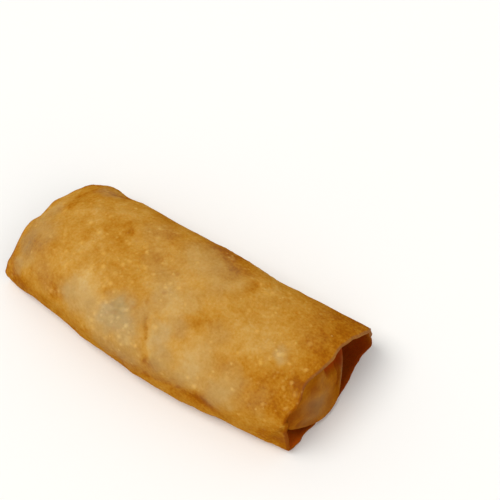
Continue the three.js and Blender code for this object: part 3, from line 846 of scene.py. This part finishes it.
def paintInnerRoll(rings, flapRings):
    t, skin = innerRoll["tones"], rings.reshape(-1, 3)
    x, y, z = skin.T
    lip = np.zeros(rings.shape[:2])
    lip[-len(flapRings):] = flapRings
    lip = lip.ravel()
    ridge, onFace = np.maximum(0, lip), smooth(*t["faceX"], x)
    # painted shade in the grooves of the pleats and the flap
    creaseShade = np.maximum(0, -pleatsAt(y, z, widePleats)) * onFace + np.maximum(0, -lip)
    creaseShade += np.maximum(0, -pleatsAt(y, z, pinchedPleats)) * smooth(*t["pinchedX"], x)
    wideEnd, pinchedEnd = t["hiddenX"]
    browning = t["hidden"] * smooth(*wideEnd, x) * smooth(*pinchedEnd, x) + t["flap"] * ridge
    thin = t["flapGrey"] * ridge
    for *place, reach, browner, greyer in faceTonesAndShade:
        patch = spotAt(skin[:, 1:], place, reach) * onFace
        browning += browner * patch
        thin += greyer * patch
    none = np.zeros(len(skin))
    return dict(browning=browning, thin=thin, spots=none, creaseShade=creaseShade, rim=ridge,
                # painted shade in the sunken corner under the rim
                inside=dentAt(y, z) * smooth(*t["dentX"], x),
                # a little painted glow on the wide end
                paintedGlow=t["paintedGlow"] * (x > t["dentX"][0]), blisters=none)


def makeInnerRoll():
    body = [bodyRing(t) for t in stations(innerRoll["bodyRings"], innerRoll["bodyCrowding"])]
    pinchedEnd, wideEnd = pinchedCap(body[0]), wideCap(body[-1])
    rings = np.concatenate([pinchedEnd[::-1], np.array(body), wideEnd])
    marks = paintInnerRoll(rings, [flapAt(body[-1], size) for size in capSizes()])
    tips = ((0, tipOf(pinchedEnd, body[0])), (len(rings) - 1, tipOf(wideEnd, body[-1])))
    return meshFromGrid("innerRoll", rings, False, marks, caps=tips)


outerWrapper = makeOuterWrapper()
print("outer wrapper made:", len(outerWrapper.data.polygons), "faces")
filledRoll = makeInnerRoll()
print("filled roll made:", len(filledRoll.data.polygons), "faces")


# Materials
def newGroup(name, inputs, outputs):
    # number inputs are given as label and usual value; a Vector input has none
    group = bpy.data.node_groups.new(name, "ShaderNodeTree")
    for label, value in inputs:
        kind = "NodeSocketVector" if value is None else "NodeSocketFloat"
        socket = group.interface.new_socket(name=label, in_out="INPUT", socket_type=kind)
        if value is not None:
            socket.default_value = value
    for label in outputs:
        kind = "NodeSocketColor" if label == "Color" else "NodeSocketFloat"
        group.interface.new_socket(name=label, in_out="OUTPUT", socket_type=kind)
    given = group.nodes.new("NodeGroupInput").outputs
    return group, given, group.nodes.new("NodeGroupOutput").inputs


def feed(tree, socket, value):
    if isinstance(value, bpy.types.NodeSocket):
        tree.links.new(value, socket)
    else:
        socket.default_value = value


def addNode(tree, kind, inputs, **settings):
    # a shader node with its settings, fed with sockets or plain values; gives its outputs
    node = tree.nodes.new("ShaderNode" + kind)
    for name, value in settings.items():
        setattr(node, name, value)
    for label, value in inputs.items():
        feed(tree, node.inputs[label], value)
    return node.outputs


def calculate(tree, operation, a, b=0.0, clamp=False):
    return addNode(tree, "Math", {0: a, 1: b}, operation=operation, use_clamp=clamp)[0]


def times(tree, a, b, clamp=False):
    return calculate(tree, "MULTIPLY", a, b, clamp)


def plus(tree, base, value, strength, clamp=False):
    # the base with the value added at that strength
    return calculate(tree, "ADD", base, times(tree, value, strength), clamp)


def noiseAt(tree, vector, scale, seed, detail=2.0, roughness=0.5, distortion=0.0):
    inputs = dict(Vector=vector, Scale=scale, W=seed, Detail=detail, Roughness=roughness,
                  Distortion=distortion)
    return addNode(tree, "TexNoise", inputs, noise_dimensions="4D")["Fac"]


def mapRange(tree, value, fromLow, fromHigh, toLow, toHigh):
    inputs = dict(enumerate((value, fromLow, fromHigh, toLow, toHigh)))
    return addNode(tree, "MapRange", inputs)[0]


def mixColours(tree, share, a, b):
    return addNode(tree, "Mix", {"Factor": share, 6: a, 7: b}, data_type="RGBA")[2]


def linear(tone):
    # a colour of 0 to 255 as the light that it stands for
    light = (((c / 255 + 0.055) / 1.055) ** 2.4 if c > 10 else c / 3294 for c in tone)
    return (*light, 1.0)


# Mottling: broad, middle and fine unevenness of a fried skin, each about -0.5 to 0.5
def makeMottle():
    group, given, out = newGroup(
        "friedMottle",
        (("Vector", None), ("Broad Size", 90.0), ("Middle Size", 300.0), ("Fine Size", 1300.0),
         ("Seed", 0.0)),
        ("Broad", "Middle", "Fine"))
    for label, detail, warp in (("Broad", 2.0, 0.6), ("Middle", 3.0, 0.4), ("Fine", 2.0, 0.0)):
        size = given[label + " Size"]
        noise = noiseAt(group, given["Vector"], size, given["Seed"], detail, 0.55, warp)
        group.links.new(calculate(group, "SUBTRACT", noise, 0.5), out[label])
    return group


# Colour of the crust from pale dough to dark toast, greyed where the filling shows through, with
# painted glints on blisters and painted shade and glow in the mouths
friedTones = (
    (0.0, (206, 176, 118)), (0.25, (201, 158, 86)), (0.5, (189, 136, 48)), (0.7, (173, 111, 20)),
    (0.82, (156, 90, 9)), (1.0, (130, 62, 6)),
)
greyTones = ((190, 156, 105), (144, 133, 93))     # over the filling: on pale and on browned crust
blisterAndGlintTones = ((228, 182, 94), (224, 192, 132))  # light blisters with painted glints: on clear and on greyed crust
toastTone = (150, 80, 16)
shadeAndGlowTones = ((126, 40, 3), (188, 78, 8))        # painted shade deep in the mouths, and painted glow where light would come through
# how strongly each tone is laid on; light lays pale blister colour with painted glints, inside lays
# the painted shade and glow of the mouths
toneShares = dict(grey=0.8, light=0.6, toast=0.35, inside=0.87)


def makeFriedColour():
    # its last two inputs lay the painted shade and the painted glow of the mouths
    group, given, out = newGroup(
        "friedColour",
        (("Browning", 0.4), ("Greying", 0.0), ("Freckle", 0.0), ("Inside", 0.0), ("Glow", 0.0)),
        ("Color",))
    ramp = group.nodes.new("ShaderNodeValToRGB")
    ramp.color_ramp.interpolation = "B_SPLINE"
    stops = ramp.color_ramp.elements
    while len(stops) < len(friedTones):
        stops.new(0.5)
    for stop, (place, colour) in zip(stops, friedTones):
        stop.position, stop.color = place, linear(colour)
    group.links.new(given["Browning"], ramp.inputs[0])

    def laid(share, strength, under, over):
        return mixColours(group, times(group, share, strength, True), under, over)

    filling = mixColours(group, given["Browning"], *map(linear, greyTones))
    pale = mixColours(group, given["Greying"], *map(linear, blisterAndGlintTones))
    # the painted shade of the mouths, moved towards a painted glow
    shaded = mixColours(group, given["Glow"], *map(linear, shadeAndGlowTones))
    light = calculate(group, "MAXIMUM", times(group, given["Freckle"], -1.0), 0.0, True)
    dark = calculate(group, "MAXIMUM", given["Freckle"], 0.0, True)
    colour = laid(given["Greying"], toneShares["grey"], ramp.outputs[0], filling)
    # pale blister colour with painted glints
    colour = laid(light, toneShares["light"], colour, pale)
    colour = laid(dark, toneShares["toast"], colour, linear(toastTone))
    # painted shade over the mouths' lining and the sunken corner
    colour = laid(given["Inside"], toneShares["inside"], colour, shaded)
    group.links.new(colour, out["Color"])
    return group


# Fine relief of the skin: flour grain and hair-fine wrinkles
def makeSkinRelief():
    group, given, out = newGroup(
        "skinRelief",
        (("Vector", None), ("Grain Size", 1500.0), ("Wrinkle Size", 420.0), ("Grain", 0.45),
         ("Wrinkle", -1.1), ("Seed", 0.0)),
        ("Height",))
    vector, seed = given["Vector"], given["Seed"]
    grain = noiseAt(group, vector, given["Grain Size"], seed, 3.0, 0.6)
    wrinkle = noiseAt(group, vector, given["Wrinkle Size"], seed, 3.0, 0.55, 0.8)
    ridge = calculate(group, "ABSOLUTE", calculate(group, "SUBTRACT", wrinkle, 0.5))
    height = plus(group, times(group, grain, given["Grain"]), ridge, given["Wrinkle"])
    group.links.new(height, out["Height"])
    return group


# Blister dots: small raised light spots, pale blisters with painted glints, and a few dark specks,
# where the density is high
dotRanges = dict(size=(0.45, 1.0), edge=(1.0, 0.2), strength=(0.4, 1.0))


def makeBlisterDots():
    group, given, out = newGroup(
        "blisterDots",
        (("Vector", None), ("Density", 0.2), ("Light Per Metre", 620.0), ("Light Size", 0.5),
         ("Light Share", 1.0), ("Dark Per Metre", 900.0), ("Dark Size", 0.3), ("Dark Share", 0.35)),
        ("Light", "Dark"))
    for label in ("Light", "Dark"):
        cell = addNode(group, "TexVoronoi",
                       dict(Vector=given["Vector"], Scale=given[label + " Per Metre"]))
        # three chances for each cell: whether it has a dot, how large, and how strong
        shows, large, strong = addNode(group, "SeparateColor", {0: cell["Color"]})
        likely = times(group, given["Density"], given[label + " Share"])
        size = mapRange(group, large, 0.0, 1.0, *dotRanges["size"])
        radius = times(group, given[label + " Size"], size)
        away = calculate(group, "DIVIDE", cell["Distance"], radius)
        dot = times(group, mapRange(group, away, *dotRanges["edge"], 0.0, 1.0),
                    calculate(group, "LESS_THAN", shows, likely))
        dot = times(group, dot, mapRange(group, strong, 0.0, 1.0, *dotRanges["strength"]))
        group.links.new(dot, out[label])
    return group


# Oil on the skin: glossier where it pools
oilRanges = dict(gloss=(0.35, 0.65), film=(0.42, 0.62))


def makeOilFilm():
    group, given, out = newGroup(
        "oilFilm",
        (("Vector", None), ("Patch Size", 160.0), ("Dry", 0.6), ("Oily", 0.36), ("Seed", 0.0)),
        ("Roughness", "Film"))
    noise = noiseAt(group, given["Vector"], given["Patch Size"], given["Seed"], 4.0, 0.6, 0.3)
    roughness = mapRange(group, noise, *oilRanges["gloss"], given["Dry"], given["Oily"])
    group.links.new(roughness, out["Roughness"])
    group.links.new(mapRange(group, noise, *oilRanges["film"], 0.0, 1.0), out["Film"])
    return group


mottleGroup, colourGroup = makeMottle(), makeFriedColour()
reliefGroup, oilGroup, dotGroup = makeSkinRelief(), makeOilFilm(), makeBlisterDots()


def addGroup(tree, group, **values):
    return addNode(tree, "Group", values, node_tree=group)


def mark(tree, label):
    return addNode(tree, "Attribute", {}, attribute_name=label)["Fac"]


def browningOf(tree, look, mottle):
    browning = calculate(tree, "ADD", mark(tree, "browning"), look["base"])
    for label in ("Broad", "Middle", "Fine"):
        browning = plus(tree, browning, mottle[label], look[label.lower()])
    # darker in creases and lighter on ridges: painted shade and light
    browning = plus(tree, browning, mark(tree, "creaseShade"), look["creaseShade"])
    browning = calculate(tree, "MINIMUM", browning, look["brownest"])
    return plus(tree, browning, mark(tree, "rim"), look["rim"], True)


def freckleOf(tree, look, dots):
    # below zero is light, pale blisters with painted glints; above it toasted
    freckle = plus(tree, times(tree, mark(tree, "spots"), look["spots"]), dots["Light"], -look["dots"])
    return plus(tree, freckle, dots["Dark"], look["specks"])


def newMaterial(name):
    # a new material, its nodes, its shader, and where each point is on the object, in metres
    material = bpy.data.materials.new(name)
    material.use_nodes = True
    tree = material.node_tree
    return material, tree, tree.nodes["Principled BSDF"], addNode(tree, "TexCoord", {})["Object"]


def friedMaterial(name, look):
    material, tree, shader, place = newMaterial(name)
    here = dict(Vector=place, Seed=look["seed"])
    mottle = addGroup(tree, mottleGroup, **here)
    dots = addGroup(tree, dotGroup, Vector=place, Density=mark(tree, "blisters"))
    thin = mark(tree, "thin")
    colour = addGroup(tree, colourGroup, Browning=browningOf(tree, look, mottle),
                      Greying=plus(tree, thin, mottle["Broad"], look["greyBroad"], True),
                      Freckle=freckleOf(tree, look, dots),
                      # painted shade and painted glow of the mouths
                      Inside=mark(tree, "inside"), Glow=mark(tree, "paintedGlow"))
    oil = addGroup(tree, oilGroup, Dry=look["dry"], Oily=look["oily"], **here)
    wet = calculate(tree, "ADD", times(tree, thin, look["wet"]), look["film"])
    skin = addGroup(tree, reliefGroup, **here)
    height = plus(tree, skin["Height"], dots["Light"], look["dotRise"])
    bump = addNode(tree, "Bump", dict(Strength=look["bump"], Distance=look["bumpHeight"],
                                      Height=height))
    for label, value in {
        "Base Color": colour["Color"], "Roughness": oil["Roughness"], "Normal": bump["Normal"],
        "Coat Weight": times(tree, oil["Film"], wet, True), "Coat Roughness": look["coatRoughness"],
        "Coat IOR": 1.47, "IOR": 1.45, "Specular IOR Level": look["specular"],
        "Subsurface Weight": look["subsurface"], "Subsurface Radius": (1.0, 0.5, 0.2),
        "Subsurface Scale": look["scatter"],
    }.items():
        feed(tree, shader.inputs[label], value)
    return material


crustLook = dict(
    seed=3.0, base=0.48, brownest=0.92, broad=0.45, middle=0.42, fine=0.42, creaseShade=0.5, rim=0.22,
    spots=0.4, dots=0.75, specks=0.7, dotRise=0.6, greyBroad=0.3, dry=0.62, oily=0.42, film=0.03,
    wet=0.35, coatRoughness=0.46, bump=0.9, bumpHeight=0.0002, specular=0.0, subsurface=0.15,
    scatter=0.0015,
)
skinLook = dict(
    crustLook, seed=8.0, base=0.82, brownest=1.0, broad=0.2, middle=0.25, fine=0.2, creaseShade=0.3,
    rim=0.0, spots=0.0, dots=0.0, specks=0.0, dotRise=0.0, greyBroad=0.1, dry=0.6, oily=0.46,
    film=0.02, wet=0.1, coatRoughness=0.49, bump=0.5, subsurface=0.1, scatter=0.001,
)

friedWrapper = friedMaterial("friedWrapper", crustLook)
tuckedSkin = friedMaterial("tuckedSkin", skinLook)
outerWrapper.data.materials.append(friedWrapper)
filledRoll.data.materials.append(tuckedSkin)
for node, material in (("outer_wrapper", friedWrapper), ("inner_roll", tuckedSkin)):
    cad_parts[node].data.materials.clear()
    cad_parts[node].data.materials.append(material)
print("materials made")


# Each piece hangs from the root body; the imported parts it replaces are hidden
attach(outerWrapper, "root")
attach(filledRoll, "root")
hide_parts("outer_wrapper")
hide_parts("inner_roll")


# Table, light and camera
table = dict(size=6.0, colour=(0.93, 0.93, 0.925), cloudSize=9.0, cloudDepth=0.985,
             roughness=0.75, gloss=0.2)
studio = dict(
    sky=(1.0, 0.99, 0.97), skyStrength=0.56,
    # each light: where it comes from, strength, angle, colour
    lights=(((-0.32, -0.3, 0.9), 1.7, 36.0, (1.0, 0.975, 0.93)),
            ((0.8, -0.35, 0.5), 0.45, 50.0, (1.0, 0.96, 0.9))),
)
camera = dict(place=(115.19, -136.89, 300.2), target=(7.21, 26.27, 10.0), lens=86.6, sensor=36.0,
              nearest=0.01)


def tableMaterial():
    material, tree, shader, place = newMaterial("paleTable")
    cloud = noiseAt(tree, place, table["cloudSize"], 1.0, 3.0)
    pale = table["colour"]
    cloudy = tuple(c * table["cloudDepth"] for c in pale)
    feed(tree, shader.inputs["Base Color"], mixColours(tree, cloud, (*pale, 1.0), (*cloudy, 1.0)))
    feed(tree, shader.inputs["Roughness"], table["roughness"])
    feed(tree, shader.inputs["Specular IOR Level"], table["gloss"])
    return material


def makeTable():
    half = table["size"] / 2
    corners = [(-half, -half, 0), (half, -half, 0), (half, half, 0), (-half, half, 0)]
    mesh = bpy.data.meshes.new("table")
    mesh.from_pydata(corners, [], [(0, 1, 2, 3)])
    mesh.materials.append(tableMaterial())
    placed("table", mesh)


def makeLight():
    world = bpy.data.worlds.new("studioSky")
    world.use_nodes = True
    background = world.node_tree.nodes["Background"]
    background.inputs["Color"].default_value = (*studio["sky"], 1.0)
    background.inputs["Strength"].default_value = studio["skyStrength"]
    bpy.context.scene.world = world
    for comesFrom, strength, angle, colour in studio["lights"]:
        sun = bpy.data.lights.new("softSun", "SUN")
        sun.energy, sun.color, sun.angle = strength, colour, math.radians(angle)
        lamp = placed("softSun", sun)
        lamp.rotation_euler = Vector(comesFrom).to_track_quat("Z", "Y").to_euler()


def makeCamera():
    place, target = Vector(camera["place"]) / 1000, Vector(camera["target"]) / 1000
    lens = bpy.data.cameras.new("camera")
    lens.lens, lens.sensor_width = camera["lens"], camera["sensor"]
    lens.clip_start = camera["nearest"]
    holder = placed("camera", lens)
    holder.location = place
    holder.rotation_euler = (target - place).to_track_quat("-Z", "Y").to_euler()
    bpy.context.scene.camera = holder


makeTable()
makeLight()
makeCamera()
bpy.context.scene.view_settings.view_transform = "Standard"
print("table, light and camera set")
